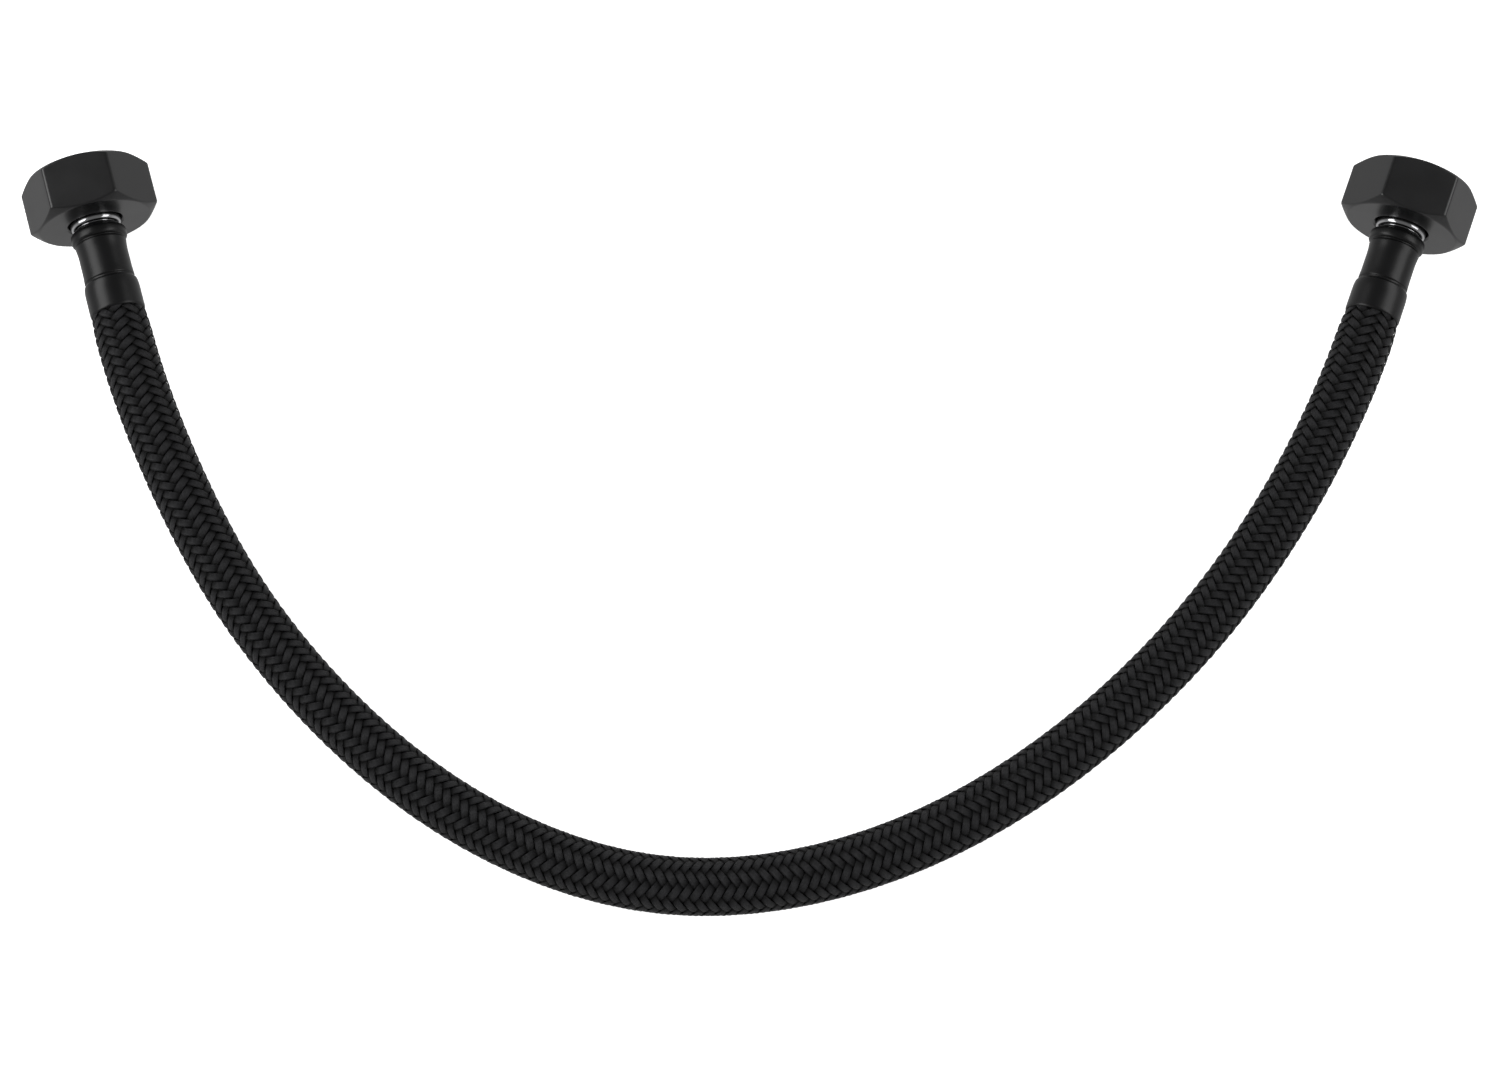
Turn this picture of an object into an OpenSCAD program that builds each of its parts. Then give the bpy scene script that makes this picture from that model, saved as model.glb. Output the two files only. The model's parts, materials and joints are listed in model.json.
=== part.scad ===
// Braided water supply line with a swivel hex nut at each end, lying on a flat surface.
// Millimetres. +X runs from the left nut to the right nut, +Y towards the nuts' mouths, +Z up.
// The origin is on the surface, under the middle of the two end fittings.

/* [Swivel nuts] */
// Width of a nut across its flats
nut_af = 24; // [23:0.5:27]
// Length of a nut along its axis
nut_len = 11.5; // [11.5:0.5:14]
// How far the corner chamfer runs along the axis
nut_chamfer = 1.3; // [0.5:0.1:2]
// Bore across the crests of the G 1/2 female thread
thread_minor_d = 18.632; // [18.4:0.002:18.8]
// Depth of the thread from the mouth
thread_depth = 6; // [5:0.5:6]
// Hole in the nut's back wall, round the insert's neck
nut_back_hole_d = 11.4; // [11:0.1:11.6]
// Bore behind the thread, where the gasket, the flange and the slip ring sit
thread_relief_d = 21.2; // [21:0.1:21.6]

/* [Inserts] */
// Diameter of the bright neck that the nut turns on
neck_d = 10.7; // [10:0.1:11]
// Diameter of the sealing flange inside the nut
flange_d = 18; // [15:0.5:18.2]
// Diameter of the waterway
waterway_d = 5.5; // [4:0.5:6]
// Number of barbs that grip the inner tube
barb_count = 5; // [3:1:5]

/* [Gaskets and slip rings] */
// Thickness of the rubber gasket
gasket_t = 1.8; // [1.5:0.1:1.8]
// Inner diameter of the gasket
gasket_id = 9; // [7:0.5:12]
// Thickness of the slip ring between flange and nut
slip_ring_t = 0.8; // [0.6:0.1:0.8]

/* [Ferrules] */
// Length of a crimped ferrule
ferrule_len = 18.8; // [18:0.2:20]
// Wall of a ferrule
ferrule_wall = 0.45; // [0.3:0.05:0.5]
// Diameter of the ferrule's rim, next to the nut
rim_d = 11.8; // [11.6:0.1:12]
// Diameter of the crimped waist
waist_d = 10.4; // [10.2:0.1:10.6]
// Diameter at the ferrule's hose end
skirt_d = 11.6; // [11.2:0.1:11.8]

/* [Hose] */
// Outer diameter over the braid
hose_d = 12; // [11.8:0.1:12.4]
// Radial thickness of the braid
braid_t = 0.5; // [0.4:0.1:0.6]
// Bore of the inner tube
tube_id = 8; // [7.6:0.1:8.4]

/* [Lay] */
// How far the left fitting leans out from +Y
left_lean = 16; // [13:1:19]
// How far the right fitting leans out from +Y
right_lean = 20; // [17:1:23]

/* [Hidden] */
$fn = 48;

// Centres of the two nuts' mouths. A nut rests on one of its flats.
rest_z = nut_af / 2;
left_mouth = [-141.5, 16, rest_z];
right_mouth = [141.5, 14.5, rest_z];

// The hose's route between its fittings, as the control points of a smooth curve.
route = [
    [-120, -50, 10], [-107, -74.5, 7], [-89.5, -96, 6], [-69, -114.5, 6],
    [-45, -128.5, 6], [-18.5, -136, 6], [8.5, -134.5, 6], [34.5, -126.5, 6],
    [58.5, -113, 6], [80, -95.5, 6], [99, -75, 7], [115, -51, 10]
];
// Length of the straight pull where the hose leaves a ferrule
lead = 14;

// Stations along a fitting's axis, measured from the nut's mouth towards the hose.
play = 0.1;
shoulder_z = nut_len - 1.6;
slip_ring_z = shoulder_z - play - slip_ring_t;
flange_t = 1;
flange_z = slip_ring_z - play - flange_t;
gasket_z = flange_z - gasket_t;
neck_end_z = nut_len + 1;
nut_travel = 1.8;
ferrule_z = nut_len + nut_travel + 0.2;
ferrule_end_z = ferrule_z + ferrule_len;
hose_start_z = ferrule_z + 2;
insert_end_z = ferrule_end_z - 0.4;

// Radii inside a fitting.
bore_r = thread_minor_d / 2;
slip_ring_r = bore_r - 0.08;
gasket_r = bore_r - 0.15;
tail_r = waterway_d / 2 + 0.75;
barb_r = tail_r + 0.3;
squeezed_tube_r = tail_r + 0.1;

// The braid's outer radius at stations inside the ferrule, pressed in by the crimp.
crease_z = ferrule_z + 10.6;
waist_braid_r = waist_d / 2 - ferrule_wall + 0.05;
skirt_braid_r = skirt_d / 2 - ferrule_wall;
end_braid_r = skirt_d / 2 - ferrule_wall + 0.1;

// Sides of the hose's tubes, and rings on the free length and on the first stretch of it.
sides = 12;
free_rings = 31;
first_ring = 0.2;

// ---- Where a fitting stands: its axis lies flat, its +Z points to the hose ----

module at_left() {
    translate(left_mouth) rotate([90, 0, left_lean]) children();
}

module at_right() {
    translate(right_mouth) rotate([90, 0, -right_lean]) children();
}

function left_station(z) = left_mouth + z * [sin(left_lean), -cos(left_lean), 0];
function right_station(z) = right_mouth + z * [-sin(right_lean), -cos(right_lean), 0];

// ---- Outlines, as [radius, station] ----

// A cosine blend from one radius to another.
function blend(r0, r1, z0, z1, steps = 6) = [
    for (i = [0:steps]) let (u = i / steps) [r0 + (r1 - r0) * (1 - cos(180 * u)) / 2, z0 + (z1 - z0) * u]
];

// A quarter round of radius r about [cr, cz], from angle a to a + 90.
function round_corner(cr, cz, r, a, steps = 4) = [
    for (i = [0:steps]) let (t = a + 90 * i / steps) [cr + r * cos(t), cz + r * sin(t)]
];

module turned(outline) {
    rotate_extrude() polygon(outline);
}

// ---- End fittings, in their own frame ----

module hex_nut() {
    corner_r = nut_af / 2 / cos(30);
    face_r = corner_r - nut_chamfer * tan(58);
    mouth_chamfer = 1.1;
    relief_r = thread_relief_d / 2;
    back_r = nut_back_hole_d / 2;
    back_chamfer = 0.4;
    difference() {
        intersection() {
            cylinder(r = corner_r, h = nut_len, $fn = 6);
            turned([
                [0, 0], [face_r, 0], [corner_r, nut_chamfer],
                [corner_r, nut_len - nut_chamfer], [face_r, nut_len], [0, nut_len]
            ]);
        }
        turned([
            [0, -1], [bore_r + mouth_chamfer + 1, -1], [bore_r, mouth_chamfer],
            [bore_r, thread_depth], [relief_r, thread_depth], [relief_r, shoulder_z],
            [back_r, shoulder_z], [back_r, nut_len - back_chamfer],
            [back_r + back_chamfer + 1, nut_len + 1], [0, nut_len + 1]
        ]);
    }
}

module slip_ring() {
    translate([0, 0, slip_ring_z]) difference() {
        cylinder(r = slip_ring_r, h = slip_ring_t);
        translate([0, 0, -1]) cylinder(r = neck_d / 2 + 0.08, h = slip_ring_t + 2);
    }
}

module gasket() {
    translate([0, 0, gasket_z]) difference() {
        cylinder(r = gasket_r, h = gasket_t);
        translate([0, 0, -1]) cylinder(d = gasket_id, h = gasket_t + 2);
    }
}

// The turned insert: flange, neck, throat, crimp groove, collar and barbed tail round the waterway.
module insert() {
    neck_r = neck_d / 2;
    throat_r = neck_r - 0.45;
    groove_r = neck_r - 0.95;
    collar_r = neck_r - 0.6;
    collar_z = ferrule_z + 0.8;
    tail_z = collar_z + 0.9;
    tip = 0.8;
    pitch = (insert_end_z - tip - tail_z) / barb_count;
    barbs = [
        for (i = [0:barb_count - 1]) let (z = tail_z + i * pitch)
            each [[tail_r, z + pitch * 0.2], [barb_r, z + pitch * 0.2], [tail_r, z + pitch]]
    ];
    turned(concat(
        [
            [waterway_d / 2, flange_z], [flange_d / 2, flange_z],
            [flange_d / 2, flange_z + flange_t], [neck_r, flange_z + flange_t],
            [neck_r, neck_end_z], [throat_r, neck_end_z], [throat_r, ferrule_z],
            [groove_r, ferrule_z], [groove_r, collar_z],
            [collar_r, collar_z], [collar_r, tail_z], [tail_r, tail_z]
        ],
        barbs,
        [[tail_r - 0.4, insert_end_z], [waterway_d / 2, insert_end_z]]
    ));
}

// The pressed ferrule: rolled rim, crimped waist, crease and a skirt over the hose.
module ferrule() {
    rim_r = rim_d / 2;
    rim_round = 0.8;
    waist_r = waist_d / 2;
    crease_r = waist_r - 0.05;
    skirt_r = skirt_d / 2;
    lip_r = neck_d / 2 - 0.9;
    outer = concat(
        [[lip_r, 0]],
        round_corner(rim_r - rim_round, rim_round, rim_round, -90),
        blend(rim_r, waist_r, 1.6, 4.2),
        blend(waist_r, crease_r, 10.3, 10.8, 2),
        blend(crease_r, skirt_r - 0.05, 10.9, 12.1, 4),
        [[skirt_r, 14]],
        round_corner(skirt_r - 0.4, ferrule_len - 0.4, 0.4, 0)
    );
    inner = [
        [skirt_r - ferrule_wall, ferrule_len], [skirt_r - ferrule_wall, 14],
        [skirt_r - 0.05 - ferrule_wall, 12.3], [crease_r - ferrule_wall, 11.1],
        [crease_r - ferrule_wall, 10.6], [waist_r - ferrule_wall, 10.2],
        [waist_r - ferrule_wall, 0.7], [lip_r, 0.7]
    ];
    translate([0, 0, ferrule_z]) turned(concat(outer, inner));
}

// ---- Hose ----

hose_ends = [left_station(ferrule_end_z), right_station(ferrule_end_z)];
pulls = [left_station(ferrule_end_z + lead), right_station(ferrule_end_z + lead)];
controls = concat(
    [2 * hose_ends[0] - pulls[0], hose_ends[0], pulls[0]],
    route,
    [pulls[1], hose_ends[1], 2 * hose_ends[1] - pulls[1]]
);
spans = len(controls) - 3;

function weights(u) = [
    pow(1 - u, 3), 3 * pow(u, 3) - 6 * pow(u, 2) + 4,
    -3 * pow(u, 3) + 3 * pow(u, 2) + 3 * u + 1, pow(u, 3)
] / 6;

function on_route(s) =
    let (k = min(floor(s), spans - 1), w = weights(s - k))
    w[0] * controls[k] + w[1] * controls[k + 1] + w[2] * controls[k + 2] + w[3] * controls[k + 3];

// Rings as [centre, braid radius, tube bore radius], from the left fitting to the right.
crimped = [
    [hose_start_z, waist_braid_r, squeezed_tube_r],
    [crease_z, waist_braid_r, squeezed_tube_r],
    [crease_z + 1.8, skirt_braid_r, squeezed_tube_r]
];
free_at = concat(
    [first_ring],
    [for (i = [1:free_rings]) spans * i / (free_rings + 1)],
    [spans - first_ring]
);
rings = concat(
    [for (c = crimped) [left_station(c[0]), c[1], c[2]]],
    [[hose_ends[0], end_braid_r, squeezed_tube_r + 0.2]],
    [for (s = free_at) [on_route(s), hose_d / 2, tube_id / 2]],
    [[hose_ends[1], end_braid_r, squeezed_tube_r + 0.2]],
    [for (i = [len(crimped) - 1:-1:0]) let (c = crimped[i]) [right_station(c[0]), c[1], c[2]]]
);

function unit(v) = v / norm(v);
function heading(i) = unit(rings[min(i + 1, len(rings) - 1)][0] - rings[max(i - 1, 0)][0]);
function ring_points(i, r) =
    let (t = heading(i), side = unit(cross(t, [0, 0, 1])), up = cross(side, t))
    [for (k = [0:sides - 1]) rings[i][0] + r * (cos(360 * k / sides) * side + sin(360 * k / sides) * up)];

// A hollow tube swept along the rings, from one outer and one inner radius for each ring.
module swept_tube(outer, inner) {
    n = len(rings);
    points = concat(
        [for (i = [0:n - 1]) each ring_points(i, outer[i])],
        [for (i = [0:n - 1]) each ring_points(i, inner[i])]
    );
    wall = n * sides;
    faces = concat(
        [for (i = [0:n - 2], k = [0:sides - 1]) let (a = i * sides, m = (k + 1) % sides)
            [a + k, a + m, a + sides + m, a + sides + k]],
        [for (i = [0:n - 2], k = [0:sides - 1]) let (a = wall + i * sides, m = (k + 1) % sides)
            [a + k, a + sides + k, a + sides + m, a + m]],
        [for (k = [0:sides - 1]) let (m = (k + 1) % sides) [k, wall + k, wall + m, m]],
        [for (k = [0:sides - 1]) let (a = (n - 1) * sides, m = (k + 1) % sides)
            [a + k, a + m, wall + a + m, wall + a + k]]
    );
    polyhedron(points, faces, convexity = 10);
}

// ---- Nodes ----

module left_nut() { color("#1b1b1d") at_left() hex_nut(); }
module right_nut() { color("#1b1b1d") at_right() hex_nut(); }

module left_slip_ring() { color("#2a2a2c") at_left() slip_ring(); }
module right_slip_ring() { color("#2a2a2c") at_right() slip_ring(); }

module left_gasket() { color("#111111") at_left() gasket(); }
module right_gasket() { color("#111111") at_right() gasket(); }

module left_insert() { color("#c9cbce") at_left() insert(); }
module right_insert() { color("#c9cbce") at_right() insert(); }

module left_ferrule() { color("#202022") at_left() ferrule(); }
module right_ferrule() { color("#202022") at_right() ferrule(); }

// The rubber tube that carries the water, just inside the braid.
module inner_tube() {
    gap = 0.05;
    color("#161616") swept_tube([for (r = rings) r[1] - braid_t - gap], [for (r = rings) r[2]]);
}

module braid() {
    color("#18181a") swept_tube([for (r = rings) r[1]], [for (r = rings) r[1] - braid_t]);
}

left_nut();
left_slip_ring();
left_gasket();
left_insert();
left_ferrule();
inner_tube();
braid();
right_ferrule();
right_insert();
right_gasket();
right_slip_ring();
right_nut();
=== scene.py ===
"""Visual model of a braided water supply line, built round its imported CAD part."""
import json
import math

import bmesh
import bpy
import numpy as np
from bpy.props import FloatProperty, FloatVectorProperty, IntProperty, PointerProperty
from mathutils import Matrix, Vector


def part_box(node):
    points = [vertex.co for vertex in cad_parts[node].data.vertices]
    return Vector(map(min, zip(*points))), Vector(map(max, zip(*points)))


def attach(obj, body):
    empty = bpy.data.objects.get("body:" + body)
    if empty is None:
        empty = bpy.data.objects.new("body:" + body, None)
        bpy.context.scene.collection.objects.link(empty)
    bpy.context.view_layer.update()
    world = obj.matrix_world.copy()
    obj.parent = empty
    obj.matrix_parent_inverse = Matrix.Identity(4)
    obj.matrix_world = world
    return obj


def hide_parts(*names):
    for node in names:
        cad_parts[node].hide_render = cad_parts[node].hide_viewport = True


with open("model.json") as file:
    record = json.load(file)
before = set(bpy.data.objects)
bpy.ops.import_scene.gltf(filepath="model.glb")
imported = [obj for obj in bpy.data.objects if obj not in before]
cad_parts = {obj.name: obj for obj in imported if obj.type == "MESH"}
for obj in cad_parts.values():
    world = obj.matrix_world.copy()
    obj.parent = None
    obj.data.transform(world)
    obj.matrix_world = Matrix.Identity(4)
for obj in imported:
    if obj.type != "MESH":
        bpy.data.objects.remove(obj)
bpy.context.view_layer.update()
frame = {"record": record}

bl_info = {
    "name": "Braided Supply Line",
    "version": (1, 0, 0),
    "blender": (4, 5, 0),
    "location": "View3D > Sidebar > Supply Line",
    "description": "Braided water supply line with swivel nuts, ferrules and a woven wire sleeve",
    "category": "Add Mesh",
}

MM = 0.001
HOSE_BODY = "hose_assembly"
SIDES = ("left", "right")


def linear(colour):
    """An sRGB hex colour as linear red, green and blue."""
    channels = [int(colour[i:i + 2], 16) / 255 for i in (1, 3, 5)]
    return tuple(c / 12.92 if c <= 0.04045 else ((c + 0.055) / 1.055) ** 2.4 for c in channels)


# ---------------------------------------------------------------- properties

class HoseSettings(bpy.types.PropertyGroup):
    """Sizes of the inner tube and of the braid over it."""

    diameter: FloatProperty(
        name="Hose diameter", description="Outer diameter over the braid",
        default=12 * MM, min=0.0, unit="LENGTH")
    tube_diameter: FloatProperty(
        name="Tube diameter", description="Outer diameter of the rubber inner tube",
        default=10.6 * MM, min=0.0, unit="LENGTH")
    tube_bore: FloatProperty(
        name="Tube bore", description="Bore of the rubber inner tube",
        default=8 * MM, min=0.0, unit="LENGTH")
    carriers: IntProperty(
        name="Carriers", description="Bundles of wire that run each way round the hose",
        default=12, min=4)
    helix_angle: FloatProperty(
        name="Braid angle", description="Angle of a bundle from the hose's axis",
        default=math.radians(54), subtype="ANGLE")
    wires: IntProperty(
        name="Wires", description="Wires that lie side by side in a bundle",
        default=7, min=1)
    wire_diameter: FloatProperty(
        name="Wire diameter", description="Thickness of a bundle, which is one wire",
        default=0.26 * MM, min=0.0, unit="LENGTH")
    weave_height: FloatProperty(
        name="Weave height", description="How far a bundle rises and dips as it crosses the others",
        default=0.25 * MM, min=0.0, unit="LENGTH")


class FittingSettings(bpy.types.PropertyGroup):
    """Sizes of the nuts, inserts, ferrules, gaskets and slip rings."""

    nut_length: FloatProperty(
        name="Nut length", description="Length of a nut along its axis",
        default=11.5 * MM, min=0.0, unit="LENGTH")
    nut_chamfer: FloatProperty(
        name="Nut chamfer", description="Length of the corner chamfer along the nut's axis",
        default=1.3 * MM, min=0.0, unit="LENGTH")
    thread_pitch: FloatProperty(
        name="Thread pitch", description="Distance between two turns of the G 1/2 thread",
        default=1.814 * MM, min=0.0, unit="LENGTH")
    thread_height: FloatProperty(
        name="Thread height", description="Depth of the thread from crest to root",
        default=1.162 * MM, min=0.0, unit="LENGTH")
    neck_diameter: FloatProperty(
        name="Neck diameter", description="Diameter of the insert's bright neck",
        default=10.7 * MM, min=0.0, unit="LENGTH")
    ferrule_length: FloatProperty(
        name="Ferrule length", description="Length of a crimped ferrule",
        default=18.8 * MM, min=0.0, unit="LENGTH")


def colour_property(name, description, colour):
    """A colour that a user can change, with an sRGB hex default."""
    return FloatVectorProperty(
        name=name, description=description, default=linear(colour), size=3,
        min=0.0, max=1.0, subtype="COLOR")


class FinishSettings(bpy.types.PropertyGroup):
    """Colours of the finishes and of the floor."""

    nut_black: colour_property("Nut coating", "Black coating of the nuts", "#111112")
    ferrule_black: colour_property("Ferrule coating", "Black coating of the ferrules", "#0c0c0d")
    wire_black: colour_property("Wire coating", "Black coating of the braid's wires", "#1b1b1c")
    nickel: colour_property("Nickel", "Bright nickel plating of the inserts", "#b6b6b8")
    rubber: colour_property("Rubber", "Rubber of the gaskets and the inner tube", "#151515")
    acetal: colour_property("Acetal", "Plastic of the slip rings", "#1a1a1b")
    floor: colour_property("Floor", "Studio floor", "#f4f4f4")


# ---------------------------------------------------------------- fittings' places

class Fitting:
    """Where one end fitting lies. Stations run from the nut's mouth towards the hose."""

    # The thread mount's point is this far inside the mouth.
    THREAD_MIDDLE = 3.55 * MM

    def __init__(self, side):
        mount = next(m for m in frame["record"]["mounts"] if m["name"] == side + "_thread")
        out = Vector(mount["axis"]).normalized()
        up = Vector((0, 0, 1))
        self.along = -out
        self.mouth = Vector(mount["pos_m"]) + out * self.THREAD_MIDDLE
        self.axes = np.array([up.cross(self.along), up, self.along])

    def station(self, z):
        """The point of the axis at a distance from the mouth."""
        return self.mouth + self.along * z

    def placed(self, points):
        """Points given as (across, up, along) from the mouth, in the object's own frame."""
        return np.asarray(points) @ self.axes + np.array(self.mouth)


FITTINGS = {side: Fitting(side) for side in SIDES}

# Thicknesses, gaps and depths along a fitting's axis. PLAY is the gap on each side of the slip
# ring, and THREAD_RADIUS is the radius of the thread's crests.
PLAY = 0.1 * MM
FLANGE = 1.0 * MM
SLIP_RING = 0.8 * MM
GASKET = 1.8 * MM
BACK_WALL = 1.6 * MM
NUT_GAP = 2.0 * MM
NECK_REACH = 1.0 * MM
THREAD_DEPTH = 6.0 * MM
THREAD_RADIUS = frame["record"]["mounts"][0]["dims"]["r_mm"] * MM
CRIMPED_LENGTH = 16.8 * MM


def stations(sizes):
    """Stations of each piece's start along a fitting, in metres from the mouth."""
    shoulder = sizes.nut_length - BACK_WALL
    ring = shoulder - PLAY - SLIP_RING
    flange = ring - PLAY - FLANGE
    ferrule = sizes.nut_length + NUT_GAP
    return {
        "shoulder": shoulder, "slip_ring": ring, "flange": flange, "gasket": flange - GASKET,
        "neck_end": sizes.nut_length + NECK_REACH,
        "ferrule": ferrule, "hose": ferrule + sizes.ferrule_length,
    }


# ---------------------------------------------------------------- the hose's route

# The control points of the route between the fittings, in millimetres.
ROUTE = (
    (-120, -50, 10), (-107, -74.5, 7), (-89.5, -96, 6), (-69, -114.5, 6),
    (-45, -128.5, 6), (-18.5, -136, 6), (8.5, -134.5, 6), (34.5, -126.5, 6),
    (58.5, -113, 6), (80, -95.5, 6), (99, -75, 7), (115, -51, 10),
)
# How far beyond a ferrule the route's next control point lies on the ferrule's axis.
LEAD = 14 * MM
STEPS_PER_SPAN = 16
STUB_STEPS = 8


def free_route(exit_station):
    """The hose's centreline from one ferrule to the other, as a cubic B-spline."""
    left, right = FITTINGS["left"], FITTINGS["right"]
    ends = [left.station(exit_station), right.station(exit_station)]
    pulls = [left.station(exit_station + LEAD), right.station(exit_station + LEAD)]
    controls = [2 * ends[0] - pulls[0], ends[0], pulls[0]]
    controls += [Vector(p) * MM for p in ROUTE]
    controls += [pulls[1], ends[1], 2 * ends[1] - pulls[1]]
    points = []
    for k in range(len(controls) - 3):
        for step in range(STEPS_PER_SPAN):
            u = step / STEPS_PER_SPAN
            weights = ((1 - u) ** 3, 3 * u ** 3 - 6 * u ** 2 + 4,
                       -3 * u ** 3 + 3 * u ** 2 + 3 * u + 1, u ** 3)
            points.append(sum((w / 6 * c for w, c in zip(weights, controls[k:k + 4])), Vector()))
    return points + [ends[1]]


def hose_route(sizes, tuck):
    """The centreline with its straight ends, which reach `tuck` into the ferrules."""
    exit_station = stations(sizes)["hose"]
    stub = [exit_station - tuck * (1 - i / STUB_STEPS) for i in range(STUB_STEPS)]
    left = [FITTINGS["left"].station(z) for z in stub]
    right = [FITTINGS["right"].station(z) for z in reversed(stub)]
    return left + free_route(exit_station) + right


def length_of(points):
    """The length of the line through the points."""
    return sum((b - a).length for a, b in zip(points, points[1:]))


# ---------------------------------------------------------------- mesh building

def new_object(name, points, faces, material):
    """A smooth-shaded mesh object at the origin, with its faces turned outwards."""
    mesh = bpy.data.meshes.new(name)
    mesh.from_pydata([tuple(p) for p in points], [], faces)
    built = bmesh.new()
    built.from_mesh(mesh)
    bmesh.ops.recalc_face_normals(built, faces=built.faces)
    built.to_mesh(mesh)
    built.free()
    mesh.shade_smooth()
    mesh.materials.append(material)
    piece = bpy.data.objects.new(name, mesh)
    bpy.context.scene.collection.objects.link(piece)
    return piece


def flatten_modifiers(piece):
    """Turns a piece's modifiers into plain mesh."""
    evaluated = piece.evaluated_get(bpy.context.evaluated_depsgraph_get())
    mesh = bpy.data.meshes.new_from_object(evaluated)
    piece.modifiers.clear()
    piece.data = mesh


def crisp(piece):
    """Keeps big faces flat where they meet small roundings."""
    weighted = piece.modifiers.new("face weighted normals", "WEIGHTED_NORMAL")
    weighted.weight = 100
    flatten_modifiers(piece)


def rounded(corners, fillets, steps=4):
    """Closed outlines with their corners rounded. corners is (..., n, 2), fillets has n lengths."""
    corners = np.asarray(corners, float)
    before, after = np.roll(corners, 1, axis=-2), np.roll(corners, -1, axis=-2)
    points = []
    for i, fillet in enumerate(fillets):
        corner = corners[..., i, :]
        if not fillet:
            points.append(corner)
            continue
        ends = []
        for other in (before[..., i, :], after[..., i, :]):
            run = other - corner
            length = np.maximum(np.linalg.norm(run, axis=-1, keepdims=True), 1e-9)
            ends.append(corner + run / length * np.minimum(fillet, length * 0.48))
        for t in np.linspace(0, 1, steps):
            points.append((1 - t) ** 2 * ends[0] + 2 * t * (1 - t) * corner + t ** 2 * ends[1])
    return np.stack(points, axis=-2)


def turned(name, fitting, outlines, angles, material):
    """A piece turned round a fitting's axis. outlines is (angle, point, (radius, station))."""
    angles = np.asarray(angles)
    radius, station = outlines[..., 0], outlines[..., 1]
    across = radius * np.cos(angles)[:, None]
    up = radius * np.sin(angles)[:, None]
    turns, count = radius.shape
    points = fitting.placed(np.stack([across, up, station], axis=-1).reshape(-1, 3))
    faces = [
        (a * count + i, a * count + (i + 1) % count,
         (a + 1) % turns * count + (i + 1) % count, (a + 1) % turns * count + i)
        for a in range(turns) for i in range(count)
    ]
    return new_object(name, points, faces, material)


def lathe(name, fitting, corners, material, segments=96, steps=4):
    """A round piece. corners are (radius, station, fillet) round its closed outline."""
    outline = rounded([c[:2] for c in corners], [c[2] for c in corners], steps)
    angles = np.linspace(0, 2 * math.pi, segments, endpoint=False)
    return turned(name, fitting, np.broadcast_to(outline, (segments, *outline.shape)), angles, material)


# ---------------------------------------------------------------- materials

def add(tree, kind, links=None, **settings):
    """Adds a node to a tree, with its settings, and its inputs linked or set."""
    node = tree.nodes.new(kind)
    for name, value in settings.items():
        setattr(node, name, value)
    for key, value in (links or {}).items():
        socket = node.inputs[key]
        if isinstance(value, bpy.types.NodeSocket):
            tree.links.new(value, socket)
        else:
            socket.default_value = value
    return node


def finish_named(name):
    """A new material with an empty node tree."""
    material = bpy.data.materials.new(name)
    material.use_nodes = True
    material.node_tree.nodes.clear()
    return material


def surface(tree, shader):
    """Makes a shader the surface of its material."""
    add(tree, "ShaderNodeOutputMaterial", {"Surface": shader.outputs[0]})


def colours():
    """The finishes' colours, as the panel sets them."""
    return bpy.context.scene.supply_line_finishes


def rgba(colour, gain=1.0):
    """A colour made lighter or darker, with its alpha."""
    return (*(c * gain for c in colour), 1.0)


def electrophoretic_black(name, colour, roughness, grain_mm, ior):
    """Black electrophoretic coating on machined or pressed metal: a thin, even, satin skin.

    The eye sees deep black faces, soft grey reflections, and a very fine orange peel.
    """
    material = finish_named(name)
    tree = material.node_tree
    place = add(tree, "ShaderNodeTexCoord")
    peel = add(tree, "ShaderNodeTexNoise", {
        "Vector": place.outputs["Object"], "Scale": 1 / (grain_mm * MM), "Detail": 2.0})
    cloud = add(tree, "ShaderNodeTexNoise", {
        "Vector": place.outputs["Object"], "Scale": 1 / (6 * MM), "Detail": 3.0})
    tone = add(tree, "ShaderNodeMix", {
        "Factor": cloud.outputs["Fac"], "A": rgba(colour, 0.75), "B": rgba(colour, 1.35)},
        data_type="RGBA")
    sheen = add(tree, "ShaderNodeMapRange", {
        "Value": cloud.outputs["Fac"], "To Min": roughness - 0.05, "To Max": roughness + 0.06})
    bump = add(tree, "ShaderNodeBump", {
        "Height": peel.outputs["Fac"], "Strength": 0.25, "Distance": 0.02 * MM})
    shader = add(tree, "ShaderNodeBsdfPrincipled", {
        "Base Color": tone.outputs["Result"], "Roughness": sheen.outputs["Result"],
        "Normal": bump.outputs["Normal"], "IOR": ior})
    surface(tree, shader)
    return material


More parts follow.
